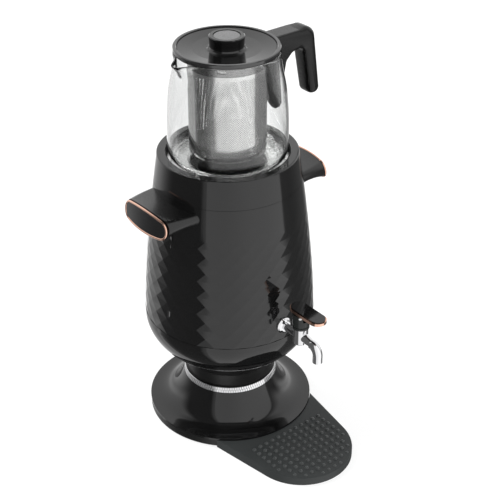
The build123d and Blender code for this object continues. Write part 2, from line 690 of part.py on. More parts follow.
def tap_lever():
    """Paddle with a hub between the bonnet's ears and a fork for the stem's pin."""
    low, high = LEVER_Z
    lever = paddle(1.3, low, high)
    hub = block((-4.3, 4.3), (PIVOT[0], TAP_Y + 4.4), (PIVOT[1] - 3.2, low + 0.5))
    hub += block((-4.3, 4.3), (PIVOT[0] - 4, PIVOT[0]), (PIVOT[1], low + 0.5))
    hub += rod(4.0, (-4.3, *PIVOT), (4.3, *PIVOT))
    hub -= block((-STEM_R - 0.5, STEM_R + 0.5), (PIVOT[0] + 3.2, TAP_Y + 6), (195, low - 0.4))
    slot = rod(FORK_SLOT, (-6, TAP_Y + 1.1, PIVOT[1]), (6, TAP_Y + 1.1, PIVOT[1]))
    slot += rod(FORK_SLOT, (-6, TAP_Y - 0.6, PIVOT[1]), (6, TAP_Y - 0.6, PIVOT[1]))
    slot += block((-6, 6), (TAP_Y - 0.6, TAP_Y + 1.1), (PIVOT[1] - FORK_SLOT, PIVOT[1] + FORK_SLOT))
    return lever + (hub - slot) - rod(PIVOT_R + RUNNING, (-12, *PIVOT), (12, *PIVOT))


def lever_trim():
    """Metal rim round the paddle."""
    return paddle(0, LEVER_Z[0] + 0.8, LEVER_Z[1] - 1.4) - paddle(1.3, LEVER_Z[0], LEVER_Z[1])


def lever_pin():
    barrel = Pos(0, TAP_Y, PIVOT[1]) * Cylinder(BONNET_R - 0.2, 12)
    return rod(PIVOT_R - 0.01, (-9.0, *PIVOT), (9.0, *PIVOT)) & barrel


# ---------------------------------------------------------------- teapot
def arc_centre(radius, start, slope):
    """Centre of an arc of the glass that leaves a point with a slope, the run of radius over height."""
    length = math.hypot(1, slope)
    return start[0] - radius / length, start[1] + radius * slope / length


def glass_radius(z):
    """Outer radius of the glass at a height, along its three tangent arcs."""
    def on_belly(height):
        return GLASS_R - BELLY_ARC + math.sqrt(BELLY_ARC ** 2 - (height - GLASS_BELLY_Z) ** 2)

    if z <= SHOULDER_Z:
        return on_belly(z)
    knee = (on_belly(SHOULDER_Z), SHOULDER_Z)
    slope = -(SHOULDER_Z - GLASS_BELLY_Z) / (knee[0] - GLASS_R + BELLY_ARC)
    r, middle = arc_centre(SHOULDER_ARC, knee, slope)
    if z <= THROAT_Z:
        return r + math.sqrt(SHOULDER_ARC ** 2 - (z - middle) ** 2)
    throat = (r + math.sqrt(SHOULDER_ARC ** 2 - (THROAT_Z - middle) ** 2), THROAT_Z)
    slope = -(THROAT_Z - middle) / (throat[0] - r)
    r, middle = arc_centre(-THROAT_ARC, throat, slope)
    return r - math.sqrt(THROAT_ARC ** 2 - (z - middle) ** 2)


def glass_side(shift, low, top):
    """Edges of the side from one height to another, moved outwards by a shift."""
    heights = [low] + [z for z in (SHOULDER_Z, THROAT_Z) if z > low] + [top]
    edges = []
    for a, b in zip(heights, heights[1:]):
        points = [(glass_radius(min(z, GLASS_RIM_Z)) + shift, z) for z in (a, (a + b) / 2, b)]
        edges.append(ThreePointArc(*points))
    return edges


def glass_solid(inset, top):
    """Filled pot to the given height: flat floor, rounded heel and the arcs of the side."""
    side = glass_side(-inset, GLASS_HEEL_Z, top)
    foot, rim = side[0] @ 0, side[-1] @ 1
    floor = POT_FLOOR_Z + 1.5 * inset
    heel = (foot.X - 3.4, floor + 5.0 - 0.3 * inset)
    start = (foot.X - 13.0, floor)
    return turned_curve([Line((0, floor), start), ThreePointArc(start, heel, (foot.X, foot.Y)), *side,
                         Line((rim.X, rim.Y), (0, top)), Line((0, top), (0, floor))])


def lip_cone(inset):
    """Leaning cone of the pouring lip, at -X."""
    cone = Cone(1.0, 13.0 - inset, 30, align=(Align.CENTER, Align.CENTER, Align.MIN))
    return Pos(-57.5, 0, 467.0) * Rot(0, -17, 0) * cone


def pot_glass():
    top = GLASS_RIM_Z
    outer = glass_solid(0, top) + (lip_cone(0) - Pos(0, 0, top + 50) * Box(300, 300, 100))
    return outer - glass_solid(GLASS_WALL, top + 1) - Pos(0, 0, 1.2) * lip_cone(2.2)


def glass_blank(gap, top):
    """Filled solid that follows the outside of the glass at a gap, up to the given height."""
    low = 398
    side = glass_side(gap, low, top)
    foot, rim = side[0] @ 0, side[-1] @ 1
    return turned_curve([*side, Line((rim.X, rim.Y), (0, top)), Line((0, top), (0, low)),
                         Line((0, low), (foot.X, foot.Y))])


def pot_bracket():
    """Shield-shaped strap on the glass that carries the handle, round at its lower tip."""
    shield = Pos(0, 452) * Rectangle(30, 80) + Pos(0, 415) * Circle(13) + Pos(0, 470) * Rectangle(33, 46)
    blank = extrude(Plane(origin=(50, 0, 0), x_dir=(0, 1, 0), z_dir=(1, 0, 0)) * shield, 50)
    strap = (blank & glass_blank(BRACKET[1], BRACKET_TOP_Z)) - glass_blank(BRACKET[0], BRACKET_TOP_Z + 2)
    return strap - pot_screws(0.02)


def handle_face():
    """Side outline of arm and grip, in X and Z: each corner's place and radius."""
    top, under = ARM_Z
    corners = (((52, top), 0.01), ((121.2, top), 10), ((137.4, 397.8), 7.7), ((121.0, 397.8), 7.7),
               ((108.2, under), 6), ((90, under), 10), ((79.5, under - 6), 6), ((75.5, 444), 0.01),
               ((52, 444), 0.01))
    return make_face(FilletPolyline(*[c[0] for c in corners], radius=[c[1] for c in corners], close=True))


def standing(face, half):
    """Extrude a face drawn in X and Z to both sides of the middle plane."""
    return extrude(Plane(origin=(0, half, 0), x_dir=(1, 0, 0), z_dir=(0, -1, 0)) * face, 2 * half)


def panel_slot(below, slack=0.0):
    """Pill outline of the arm's inlay, at a depth below its top."""
    length, width = PANEL
    return Pos(PANEL_X, 0, ARM_Z[0] - below) * SlotOverall(length + slack, width + slack)


def pot_handle():
    """Moulded arm and open-ended grip with soft edges and a pocket for the inlay."""
    body = standing(handle_face(), GRIP_HALF)
    edges = [e for y in (-GRIP_HALF, GRIP_HALF)
             for e in body.faces().filter_by(Axis.Y).sort_by(lambda f: abs(f.center().Y - y))[0].edges()
             if e.center().X > 80]
    body = fillet(edges, GRIP_ROUND)
    body -= glass_blank(BRACKET[1], BRACKET_TOP_Z)
    body -= Pos(0, 0, 440) * Cylinder(ARM_ROOT_R, 200)
    body -= pot_screws(0.02)
    return body - extrude(panel_slot(PANEL_DEPTH[1], 0.4), 5)


def pot_handle_panel():
    """Satin inlay along the top of the arm."""
    face, floor = PANEL_DEPTH
    return extrude(panel_slot(floor), floor - face) - Pos(0, 0, 440) * Cylinder(ARM_ROOT_R + 0.2, 200)


def pot_handle_trim():
    """Thin metal strip down the back of the grip."""
    strip = standing(offset(handle_face(), 0.8), 7.5) - standing(handle_face(), GRIP_HALF)
    return strip & block((120.5, 145), (-10, 10), (411, 485))


def pot_screws(slack=0.0):
    """Two screws through the bracket into the handle's root."""
    screws = Part()
    for z in (456, 484):
        screws += rod(1.6 + slack, (glass_radius(z) + 1.4, 0, z), (glass_radius(z) + 13, 0, z))
    return screws


# ---------------------------------------------------------------- infuser
def infuser_rim():
    """Flange on the glass mouth with a plain band below and one small window."""
    low, high = BASKET_Z[1], GLASS_RIM_Z + SHEET
    band = turned((BASKET_R - 0.6, low), (BASKET_R, low), (BASKET_R, GLASS_RIM_Z), (FLANGE_R, GLASS_RIM_Z),
                  (FLANGE_R, high), (BASKET_R - 0.6, high))
    return band - Rot(0, 0, -135) * block((40, 50), (-4.5, 4.5), (483.5, 488.5))


def infuser_basket():
    low, high = BASKET_Z
    return turned((BASKET_R - 0.6, low), (BASKET_R, low), (BASKET_R, high), (BASKET_R - 0.6, high))


def infuser_base():
    """Dished sieve bottom with rings of holes."""
    low = BASKET_Z[0]
    under = [(0, low - 2.4), (34, low - 2.0), (BASKET_R - 1.2, low - 0.9), (BASKET_R, low - 0.7)]
    upper = [(BASKET_R, low), (BASKET_R - 1.4, low), (BASKET_R - 1.5, low - 0.3), (34, low - 1.2),
             (0, low - 1.6)]
    disc = turned(*under, *upper)
    for ring, count in ((12, 6), (24, 12)):
        for i in range(count):
            p = polar(ring, 360 * i / count)
            disc -= Pos(p.X, p.Y, low) * Cylinder(1.8, 12)
    return disc


# ---------------------------------------------------------------- lid
def lid_rim():
    low, high = LID_Z
    return turned((57.4, low), (LID_R - 0.8, low), (LID_R, low + 0.8), (LID_R, high - 0.9),
                  (LID_R - 0.9, high), (58.2, high), (57.4, high - 0.6))


def lid_plate():
    """Dished satin plate inside the rim, lower in the middle, where the knob stands."""
    low, high = LID_Z
    plate = turned((0, low - 1.8), (38, low - 1.8), (40.5, low), (57.3, low), (57.3, high - 1.9),
                   (56.4, high - 1.5), (40, high - 3.4), (25, PLATE_TOP_Z), (0, PLATE_TOP_Z))
    return plate - Pos(0, 0, low) * Cylinder(2.2, 12)


def lid_seal():
    """Silicone skirt that centres the lid in the infuser's mouth."""
    top = LID_Z[0]
    return turned((41, top - 7), (44.4, top - 7), (44.9, top - 5), (44.2, top - 3), (44.2, top), (41, top))


def lid_knob():
    """Waisted knob with a flared foot and a shallow seat for its cap."""
    low, high = PLATE_TOP_Z, KNOB_TOP_Z
    waist = KNOB_R - 0.6
    foot = [(3, low), (KNOB_R + 2.6, low), (KNOB_R + 0.6, low + 1.2), (waist, low + 3), (waist, low + 6)]
    head = [(KNOB_R, high - 2.4), (KNOB_R, high - 0.9), (KNOB_R - 1, high), (15.9, high),
            (15.9, high - 2.0)]
    return turned(*foot, *head, (3, high - 2.0))


def knob_cap():
    high = KNOB_TOP_Z
    return turned((0, high - 1.9), (15.2, high - 1.9), (15.2, high - 0.7), (14.4, high - 0.4),
                  (0, high - 0.2))


def knob_screw():
    """Screw from under the lid into the knob."""
    low = LID_Z[0] - 1.8
    return turned((0, low - 2.2), (3.4, low - 1.8), (4, low), (2.0, low), (2.0, low + 12), (0, low + 12))


def knob_insert():
    """Threaded brass insert in the knob."""
    low = PLATE_TOP_Z
    return turned((2.05, low), (2.95, low), (2.95, low + 10), (2.05, low + 10))


# ---------------------------------------------------------------- build
NODES = [drip_tray, base_plate, foot_ring, base_screws, foot_bell, knurled_ring, neck_collar,
         lower_bowl, body_shell, top_collar, seat_ring, seat_dish, water_tank, heater_plate,
         heating_element, thermostat, tank_bracket, tie_bolts, clamp_washer, cord_gland,
         terminal_block, handle_right, handle_right_trim, handle_right_pad, handle_screws,
         tap_flange, tap_body, tap_spout, tap_bonnet, tap_nut, tap_gasket, tap_stem, stem_pin,
         valve_cup, tap_spring, tap_lever, lever_trim, lever_pin, pot_glass, pot_bracket,
         pot_handle, pot_handle_panel, pot_handle_trim, pot_screws, infuser_rim, infuser_basket,
         infuser_base, lid_rim, lid_plate, lid_seal, lid_knob, knob_cap, knob_screw, knob_insert]

for make in NODES:
    solid = make()
    export_step(solid, f"parts/{make.__name__}.step")
    if make.__name__.startswith("handle_right"):
        left = make.__name__.replace("right", "left")
        export_step(mirrored(solid), f"parts/{left}.step")
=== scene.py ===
import math

import bmesh
import bpy
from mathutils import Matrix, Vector


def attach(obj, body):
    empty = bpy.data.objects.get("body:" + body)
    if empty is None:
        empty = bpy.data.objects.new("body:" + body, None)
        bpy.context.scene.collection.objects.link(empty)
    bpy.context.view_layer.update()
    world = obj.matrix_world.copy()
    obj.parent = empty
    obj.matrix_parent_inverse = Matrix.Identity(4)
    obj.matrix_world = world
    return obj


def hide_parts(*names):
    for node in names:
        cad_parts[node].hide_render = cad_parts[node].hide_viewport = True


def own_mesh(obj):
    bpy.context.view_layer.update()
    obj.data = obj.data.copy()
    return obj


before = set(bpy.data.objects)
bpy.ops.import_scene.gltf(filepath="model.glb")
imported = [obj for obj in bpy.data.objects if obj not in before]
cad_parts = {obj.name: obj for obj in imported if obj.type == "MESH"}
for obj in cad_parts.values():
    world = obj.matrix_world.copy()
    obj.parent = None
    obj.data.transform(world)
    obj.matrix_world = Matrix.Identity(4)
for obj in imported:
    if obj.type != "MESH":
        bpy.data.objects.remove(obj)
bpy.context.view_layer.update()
MM = 0.001                      # the object's lengths below are in mm, angles in degrees
TOLERANCE = 1e-5                # metres


# ---------------------------------------------------------------- shader helpers
class Shader:
    """A node tree with short calls for the few node kinds used here."""

    def __init__(self, tree):
        self.tree = tree
        self.nodes = tree.nodes
        self.nodes.clear()

    def add(self, kind, inputs=None, **settings):
        node = self.nodes.new(kind)
        for key, value in settings.items():
            setattr(node, key, value)
        for key, value in (inputs or {}).items():
            self.put(node.inputs[key], value)
        return node

    def put(self, socket, value):
        if isinstance(value, bpy.types.NodeSocket):
            self.tree.links.new(value, socket)
        else:
            socket.default_value = value

    def math(self, operation, a, b=0.0):
        return self.add("ShaderNodeMath", {0: a, 1: b}, operation=operation).outputs[0]

    def ramp(self, value, low, high, out_low=0.0, out_high=1.0, smooth=True):
        return self.add("ShaderNodeMapRange",
                        {0: value, 1: low, 2: high, 3: out_low, 4: out_high},
                        interpolation_type="SMOOTHSTEP" if smooth else "LINEAR").outputs[0]

    def noise(self, scale, detail, roughness=0.5, stretch=(1, 1, 1)):
        vector = self.add("ShaderNodeTexCoord").outputs["Object"]
        if stretch != (1, 1, 1):
            mapping = self.add("ShaderNodeMapping", {"Vector": vector, "Scale": stretch})
            vector = mapping.outputs[0]
        return self.add("ShaderNodeTexNoise", {"Vector": vector, "Scale": scale, "Detail": detail,
                                               "Roughness": roughness}).outputs[0]

    def tint(self, value, dark, light):
        """Colour that runs from dark to light with a value from 0 to 1."""
        return self.add("ShaderNodeMix", {0: value, 6: (*dark, 1), 7: (*light, 1)},
                        data_type="RGBA").outputs[2]

    def bump(self, height, distance, strength):
        return self.add("ShaderNodeBump", {"Height": height, "Distance": distance,
                                           "Strength": strength}).outputs[0]


def new_material(name):
    material = bpy.data.materials.new(name)
    material.use_nodes = True
    return material, Shader(material.node_tree)


def finish_material(s, inputs):
    shader = s.add("ShaderNodeBsdfPrincipled", inputs)
    s.add("ShaderNodeOutputMaterial", {"Surface": shader.outputs[0]})


def gloss_plastic(name, colour, roughness=(0.04, 0.075), ior=1.5):
    """Piano-black moulding: faint orange peel and a thin haze of handling."""
    m, s = new_material(name)
    haze = s.noise(55, 3.0)
    peel = s.noise(420, 1.0)
    light = tuple(c * 1.35 for c in (colour, colour, colour * 1.03))
    finish_material(s, {"Base Color": s.tint(haze, (colour, colour, colour), light),
                        "Roughness": s.ramp(haze, 0.35, 0.7, *roughness), "IOR": ior,
                        "Normal": s.bump(peel, 0.000012, 0.4)})
    return m


def satin_plastic(name, colour, roughness, grain=900, depth=0.00004, specular=0.5):
    """Textured moulding with a fine spark-eroded grain."""
    m, s = new_material(name)
    fine = s.noise(grain, 3.0, 0.6)
    cloud = s.noise(30, 2.0)
    light = tuple(c * 1.25 for c in colour)
    finish_material(s, {"Base Color": s.tint(cloud, colour, light),
                        "Roughness": s.ramp(fine, 0.3, 0.7, roughness - 0.06, roughness + 0.08),
                        "Specular IOR Level": specular, "Normal": s.bump(fine, depth, 0.6)})
    return m


def plated(name, colour, roughness, streak=(1, 1, 1), depth=0.00001):
    """Metal with a fine grain, which streak draws out into lines, under a cloudy tint."""
    m, s = new_material(name)
    lines = s.noise(260, 3.0, 0.65, stretch=streak)
    cloud = s.noise(24, 2.0)
    dark = tuple(c * 0.86 for c in colour)
    finish_material(s, {"Base Color": s.tint(cloud, dark, colour), "Metallic": 1.0,
                        "Roughness": s.ramp(lines, 0.25, 0.75, roughness * 0.75, roughness * 1.35),
                        "Normal": s.bump(lines, depth, 0.5)})
    return m


def rubber(name, colour=(0.012, 0.012, 0.012), roughness=0.7):
    m, s = new_material(name)
    fine = s.noise(1500, 4.0, 0.7)
    light = tuple(c * 1.6 for c in colour)
    finish_material(s, {"Base Color": s.tint(fine, colour, light), "Roughness": roughness,
                        "Specular IOR Level": 0.35, "Normal": s.bump(fine, 0.00006, 0.5)})
    return m


def clear_glass(name):
    """Borosilicate with the slightest waviness of blown glass."""
    m, s = new_material(name)
    wave = s.noise(14, 1.0, stretch=(1, 1, 0.5))
    finish_material(s, {"Base Color": (0.985, 0.99, 0.988, 1), "Roughness": 0.0, "IOR": 1.46,
                        "Transmission Weight": 1.0, "Normal": s.bump(wave, 0.0004, 0.12)})
    return m


# ---------------------------------------------------------------- mesh helpers
def link_object(name, data):
    made = bpy.data.objects.new(name, data)
    bpy.context.scene.collection.objects.link(made)
    return made


def mesh_object(name, verts, faces, material, sharp):
    """Smooth-shaded object with its normals out and its edges hard above the angle sharp."""
    mesh = bpy.data.meshes.new(name)
    mesh.from_pydata(verts, [], faces)
    mesh.validate()
    mesh.materials.append(material)
    bm = bmesh.new()
    bm.from_mesh(mesh)
    bmesh.ops.recalc_face_normals(bm, faces=bm.faces)
    bm.to_mesh(mesh)
    bm.free()
    mesh.shade_smooth()
    mesh.set_sharp_from_angle(angle=math.radians(sharp))
    return link_object(name, mesh)


def polar(radius, degrees, z):
    a = math.radians(degrees)
    return (radius * math.cos(a) * MM, radius * math.sin(a) * MM, z * MM)


def loops(start, rows, count):
    """Indices of points that are stored row by row, each row a loop."""
    return [range(start + k * count, start + (k + 1) * count) for k in range(rows)]


def band(low, high):
    """Faces between two loops of as many points."""
    following = [*range(1, len(low)), 0]
    return [(low[i], low[j], high[j], high[i]) for i, j in enumerate(following)]


def skin(rows, joined=False):
    """Faces over a stack of loops. Its two ends are joined to each other or covered."""
    pairs = list(zip(rows, rows[1:]))
    if joined:
        pairs.append((rows[-1], rows[0]))
    faces = [face for low, high in pairs for face in band(low, high)]
    if not joined:
        faces += [tuple(rows[0][::-1]), tuple(rows[-1])]
    return faces


def lathe(name, outline, material, segments, sharp, shape):
    """Solid of revolution from (radius, height) points that start and end on the axis.

    shape moves each point, given its radius, angle and height."""
    verts, rings = [], []
    for r, z in outline:
        if r == 0:
            rings.append([len(verts)] * segments)
            verts.append((0, 0, z * MM))
        else:
            rings.append([len(verts) + i for i in range(segments)])
            verts += [polar(*shape(r, 360 * i / segments, z)) for i in range(segments)]
    faces = []
    for low, high in zip(rings, rings[1:]):
        for face in band(low, high):
            corners = [v for n, v in enumerate(face) if v not in face[:n]]
            if len(corners) > 2:
                faces.append(corners)
    return mesh_object(name, verts, faces, material, sharp)


def place(piece, body, slot, *replaced):
    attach(piece, body)
    if replaced:
        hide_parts(*replaced)
    return piece


NODE_SHARP = 32                 # edges of the CAD nodes are hard above this angle


def dress(material, *names):
    """Give CAD nodes that keep their shape their finish."""
    for name in names:
        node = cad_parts[name]
        node.data.materials.clear()
        node.data.materials.append(material)
        node.data.shade_smooth()
        node.data.set_sharp_from_angle(angle=math.radians(NODE_SHARP))


# ---------------------------------------------------------------- camera, floor and light
# Solved from the round edges in the photo
CAMERA_LENS = 87.93
CAMERA_SENSOR = 36.0
CAMERA_PLACE = (-0.7968, -1.0272, 1.0171)       # metres
CAMERA_AIM = (0.5375, 0.6649, -0.5187)


def set_camera():
    data = bpy.data.cameras.new("photo_camera")
    data.lens = CAMERA_LENS
    data.sensor_width = CAMERA_SENSOR
    data.clip_end = 100
    camera = link_object("photo_camera", data)
    camera.location = CAMERA_PLACE
    camera.rotation_mode = "QUATERNION"
    camera.rotation_quaternion = Vector(CAMERA_AIM).to_track_quat("-Z", "Y")
    bpy.context.scene.camera = camera


# Soft boxes round the studio, in degrees: azimuth centre, half width and softness,
# elevation from, to and softness, brightness
SOFT_BOXES = (
    (258.5, 58.5, 0.8, -75, 67, 2.0, 0.5),
    (255.5, 61.5, 3.5, -75, 67, 2.0, 0.52),
    (282, 35, 25, -75, 67, 2.0, 0.24),
    (78, 44, 20, -75, 8, 10.0, 0.66),
    (64, 7, 3, -75, 8, 8.0, 0.55),
    (119, 4, 2, -75, -23, 2.0, 0.4),
    (18, 30, 10, -13, 6, 6.0, 0.85),
    (51, 84, 12, 2, 58, 9.0, 1.0),
    (342, 30, 18, -75, 60, 20.0, 0.05),
)
STUDIO_DARK = 0.13              # brightness between the boxes
BACKDROP = 1.0                  # brightness of what the camera sees behind the object


def set_world():
    world = bpy.data.worlds.new("studio")
    bpy.context.scene.world = world
    world.use_nodes = True
    s = Shader(world.node_tree)
    direction = s.add("ShaderNodeTexCoord").outputs["Generated"]
    x, y, z = s.add("ShaderNodeSeparateXYZ", {0: direction}).outputs
    level_square = s.math("SUBTRACT", 1.0, s.math("MULTIPLY", z, z))
    level = s.math("SQRT", s.math("MAXIMUM", level_square, 1e-5))
    elevation = s.math("ARCSINE", z)

    def rising(value, limit, soft):
        return s.ramp(value, math.radians(limit - soft), math.radians(limit + soft))

    def falling(value, limit, soft):
        return s.ramp(value, math.radians(limit - soft), math.radians(limit + soft), 1.0, 0.0)

    total = STUDIO_DARK
    for centre, half, soft, low, high, level_soft, power in SOFT_BOXES:
        a = math.radians(centre)
        along = s.math("ADD", s.math("MULTIPLY", x, math.cos(a)),
                       s.math("MULTIPLY", y, math.sin(a)))
        turn = s.math("ARCCOSINE", s.math("DIVIDE", along, level))
        across = s.math("MULTIPLY", falling(turn, half, soft), rising(elevation, low, level_soft))
        up = s.math("MULTIPLY", falling(elevation, high, level_soft), power)
        total = s.math("ADD", total, s.math("MULTIPLY", across, up))
    # What is seen straight or only through the glass is the plain pale backdrop
    path = s.add("ShaderNodeLightPath").outputs
    direct = s.math("MAXIMUM", path["Is Camera Ray"], path["Is Transmission Ray"])
    bounces = s.math("ADD", path["Glossy Depth"], path["Diffuse Depth"])
    plain = s.math("MULTIPLY", direct, s.math("LESS_THAN", bounces, 0.5))
    strength = s.ramp(plain, 0.0, 1.0, total, BACKDROP, smooth=False)
    background = s.add("ShaderNodeBackground", {"Color": (1, 1, 1, 1), "Strength": strength})
    s.add("ShaderNodeOutputWorld", {"Surface": background.outputs[0]})


FLOOR_RADIUS = 12               # metres
FLOOR_Z = -0.0004               # just under the feet, in metres
FLOOR_GLOW = 0.78               # keeps the shadow on the floor faint
SUN_POWER = 1.9
SUN_SOFTNESS = 35
SUN_AIM = (0.55, -0.75, -0.9)


def set_stage():
    """Pale floor and a soft light from above. Glossy surfaces and the glass don't see the floor."""
    m, s = new_material("pale_floor")
    grain = s.noise(3.0, 2.0)
    finish_material(s, {"Base Color": s.tint(grain, (0.3, 0.3, 0.3), (0.32, 0.32, 0.32)),
                        "Roughness": 0.9, "Specular IOR Level": 0.0,
                        "Emission Color": (1, 1, 1, 1), "Emission Strength": FLOOR_GLOW})
    bpy.ops.mesh.primitive_circle_add(vertices=96, radius=FLOOR_RADIUS, fill_type="NGON",
                                      location=(0, 0, FLOOR_Z))
    floor = bpy.context.object
    floor.name = "studio_floor"
    floor.data.materials.append(m)
    floor.visible_glossy = False
    floor.visible_transmission = False
    light = bpy.data.lights.new("top_light", "SUN")
    light.energy = SUN_POWER
    light.angle = math.radians(SUN_SOFTNESS)
    lamp = link_object("top_light", light)
    lamp.rotation_mode = "QUATERNION"
    lamp.rotation_quaternion = Vector(SUN_AIM).to_track_quat("-Z", "Y")
    lamp.visible_glossy = False
    bpy.context.scene.view_settings.view_transform = "Standard"


# ---------------------------------------------------------------- finishes
GLOSS = gloss_plastic("gloss_black", 0.005)
INSERT = gloss_plastic("gloss_insert", 0.008, (0.08, 0.12))
HANDLE = satin_plastic("handle_black", (0.005, 0.005, 0.005), 0.2, 1400, 0.000008, 0.45)
SATIN = satin_plastic("satin_black", (0.006, 0.006, 0.006), 0.36, specular=0.35)
BONNET = satin_plastic("bonnet_grey", (0.012, 0.0135, 0.013), 0.3, 1400, 0.00001, 0.4)
GRIP = satin_plastic("grip_black", (0.003, 0.003, 0.003), 0.24, 1400, 0.00001, 0.3)
TRAY = satin_plastic("tray_grey", (0.034, 0.037, 0.037), 0.42, 800, 0.00003, 0.18)
# Painted light: the tray's domes get a lighter copy of the tray's grey so that they stand out as lit
DOME = satin_plastic("dome_grey_painted_light", (0.05, 0.054, 0.054), 0.3, 800, 0.00003, 0.4)
LID = gloss_plastic("lid_black", 0.005, (0.1, 0.15), ior=1.42)
RIM = gloss_plastic("rim_black", 0.012, (0.1, 0.15), ior=1.7)
CAP = satin_plastic("cap_grey", (0.13, 0.13, 0.132), 0.3, 1600, 0.000006, 0.5)
INLAY = satin_plastic("inlay_grey", (0.014, 0.014, 0.0142), 0.3, 1600, 0.00001, 0.4)
ROSE = plated("rose_metal", (0.84, 0.52, 0.4), 0.1)
CHROME = plated("chrome", (0.78, 0.78, 0.79), 0.04)
# Painted shade: the chrome ring's band between the beads gets a dark metal so that the gaps read as
# shaded
SHADED_GAP_METAL = plated("ring_root_painted_shade", (0.16, 0.16, 0.16), 0.3)
STEEL = plated("stainless", (0.62, 0.62, 0.61), 0.14, streak=(1, 1, 14))
MESH_STEEL = plated("sieve_steel", (0.68, 0.68, 0.675), 0.13, streak=(6, 6, 0.4))
BRIGHT_STEEL = plated("seat_steel", (0.7, 0.7, 0.695), 0.26)
# Painted shade: the infuser's band under the lid gets a steel much darker than stainless, for the
# lid's shade; its roughness is the band's satin finish
SHADED_BAND_STEEL = plated("band_steel_painted_shade", (0.27, 0.27, 0.268), 0.2, streak=(1, 1, 14))
ALUMINIUM = plated("cast_aluminium", (0.7, 0.7, 0.71), 0.35, depth=0.00004)
BRASS = plated("turned_brass", (0.8, 0.6, 0.3), 0.2)
RUBBER = rubber("black_rubber")
SILICONE = rubber("silicone", (0.55, 0.55, 0.53), 0.5)
CONNECTOR = satin_plastic("connector_white", (0.7, 0.69, 0.65), 0.45)
GLASS = clear_glass("pot_glass_clear")


# ---------------------------------------------------------------- faceted shell
BODY_R = 107.1                  # up to the waist, above which the body tapers
TAPER = 0.0069
TAPER_POWER = 1.5
WAIST_Z = 150.0
SHELL_Z = (153.8, 334.0)        # seam with the bowl and seam with the collar
SHELL_WALL = 2.8
INNER_Z = (290, 240, 190)       # rings of the inner wall
SMOOTH_RINGS = 6                # rings of the smooth part above the facets
FACET_COLUMNS = 30
FACET_RISE = 0.1058             # half a diamond's height per radius of the body
FACET_LEVELS = 13
FACET_CUTS = 6
FACET_HOLLOW = 0.3              # 0 for flat triangles, 1 for an unfolded hollow patch


def body_radius(z):
    return BODY_R - TAPER * max(z - WAIST_Z, 0.0) ** TAPER_POWER


def facet_levels():
    """Heights of the diamonds' corners, from one below the seam to one above the facets."""
    levels = [SHELL_Z[0]]
    for _ in range(FACET_LEVELS + 1):
        levels.append(levels[-1] + FACET_RISE * body_radius(levels[-1]))
    return [SHELL_Z[0] - FACET_RISE * BODY_R] + levels


def facet_patch(corners, place_point):
    """Grid of one diamond from its low, right, high and left corner, folded on the level line."""
    low, right, high, left = corners
    grid = {}
    for i in range(FACET_CUTS + 1):
        for j in range(FACET_CUTS + 1):
            u, v = i / FACET_CUTS, j / FACET_CUTS
            if i + j <= FACET_CUTS:
                flat = low + u * (right - low) + v * (left - low)
            else:
                flat = high + (1 - v) * (right - high) + (1 - u) * (left - high)
            hollow = ((1 - u) * (1 - v) * low + u * (1 - v) * right + u * v * high
                      + (1 - u) * v * left)
            grid[i, j] = place_point(flat.lerp(hollow, FACET_HOLLOW))
    return grid


def patch_edges(grid):
    """Pairs of points along a patch's four sides."""
    end = FACET_CUTS
    pairs = []
    for k in range(end):
        pairs += [(grid[k, 0], grid[k + 1, 0]), (grid[k, end], grid[k + 1, end])]
        pairs += [(grid[0, k], grid[0, k + 1]), (grid[end, k], grid[end, k + 1])]
    return pairs


def faceted_shell(material):
    """Diamonds that are folded along the level line, closed by a plain inner wall.

    The top levels bend gradually into the smooth taper."""
    levels = facet_levels()
    last = len(levels) - 1
    half = 180 / FACET_COLUMNS
    bm = bmesh.new()
    cache = {}

    def corner(column, level):
        r, a = body_radius(levels[level]), math.radians(column * half)
        return Vector((r * math.cos(a), r * math.sin(a), levels[level]))

    def fade(z):
        t = min(max((z - levels[-3]) / (levels[-1] - levels[-3]), 0.0), 1.0)
        return t * t * (3 - 2 * t)

    def vert_on_body(p):
        k = 1 + fade(p.z) * (body_radius(p.z) / math.hypot(p.x, p.y) - 1)
        p = Vector((p.x * k, p.y * k, p.z))
        key = tuple(round(v, 4) for v in p)
        if key not in cache:
            cache[key] = bm.verts.new(p * MM)
        return cache[key]

    sharp = set()
    for level in range(1, last):
        for column in range((level + 1) % 2, 2 * FACET_COLUMNS, 2):
            corners = (corner(column, level - 1), corner(column + 1, level),
                       corner(column, level + 1), corner(column - 1, level))
            grid = facet_patch(corners, vert_on_body)
            fold = []
            for i in range(FACET_CUTS):
                for j in range(FACET_CUTS):
                    a, b, c, d = grid[i, j], grid[i + 1, j], grid[i + 1, j + 1], grid[i, j + 1]
                    if i + j == FACET_CUTS - 1:
                        bm.faces.new((a, b, d))
                        bm.faces.new((b, c, d))
                        fold.append((b, d))
                    else:
                        bm.faces.new((a, b, c, d))
            if level < last - 1:
                sharp.update(frozenset(pair) for pair in fold + patch_edges(grid))
    for pair in sharp:
        edge = bm.edges.get(tuple(pair))
        if edge:
            edge.smooth = False
    for face in bm.faces:
        face.smooth = True
    for z, above in ((SHELL_Z[0], False), (levels[-2], True)):
        geometry = bm.verts[:] + bm.edges[:] + bm.faces[:]
        bmesh.ops.bisect_plane(bm, geom=geometry, dist=1e-7, plane_co=(0, 0, z * MM),
                               plane_no=(0, 0, 1), clear_inner=not above, clear_outer=above)
    close_shell(bm, levels[-2])
    mesh = bpy.data.meshes.new("shell_facets")
    bm.to_mesh(mesh)
    bm.free()
    mesh.materials.append(material)
    return link_object("shell_facets", mesh)


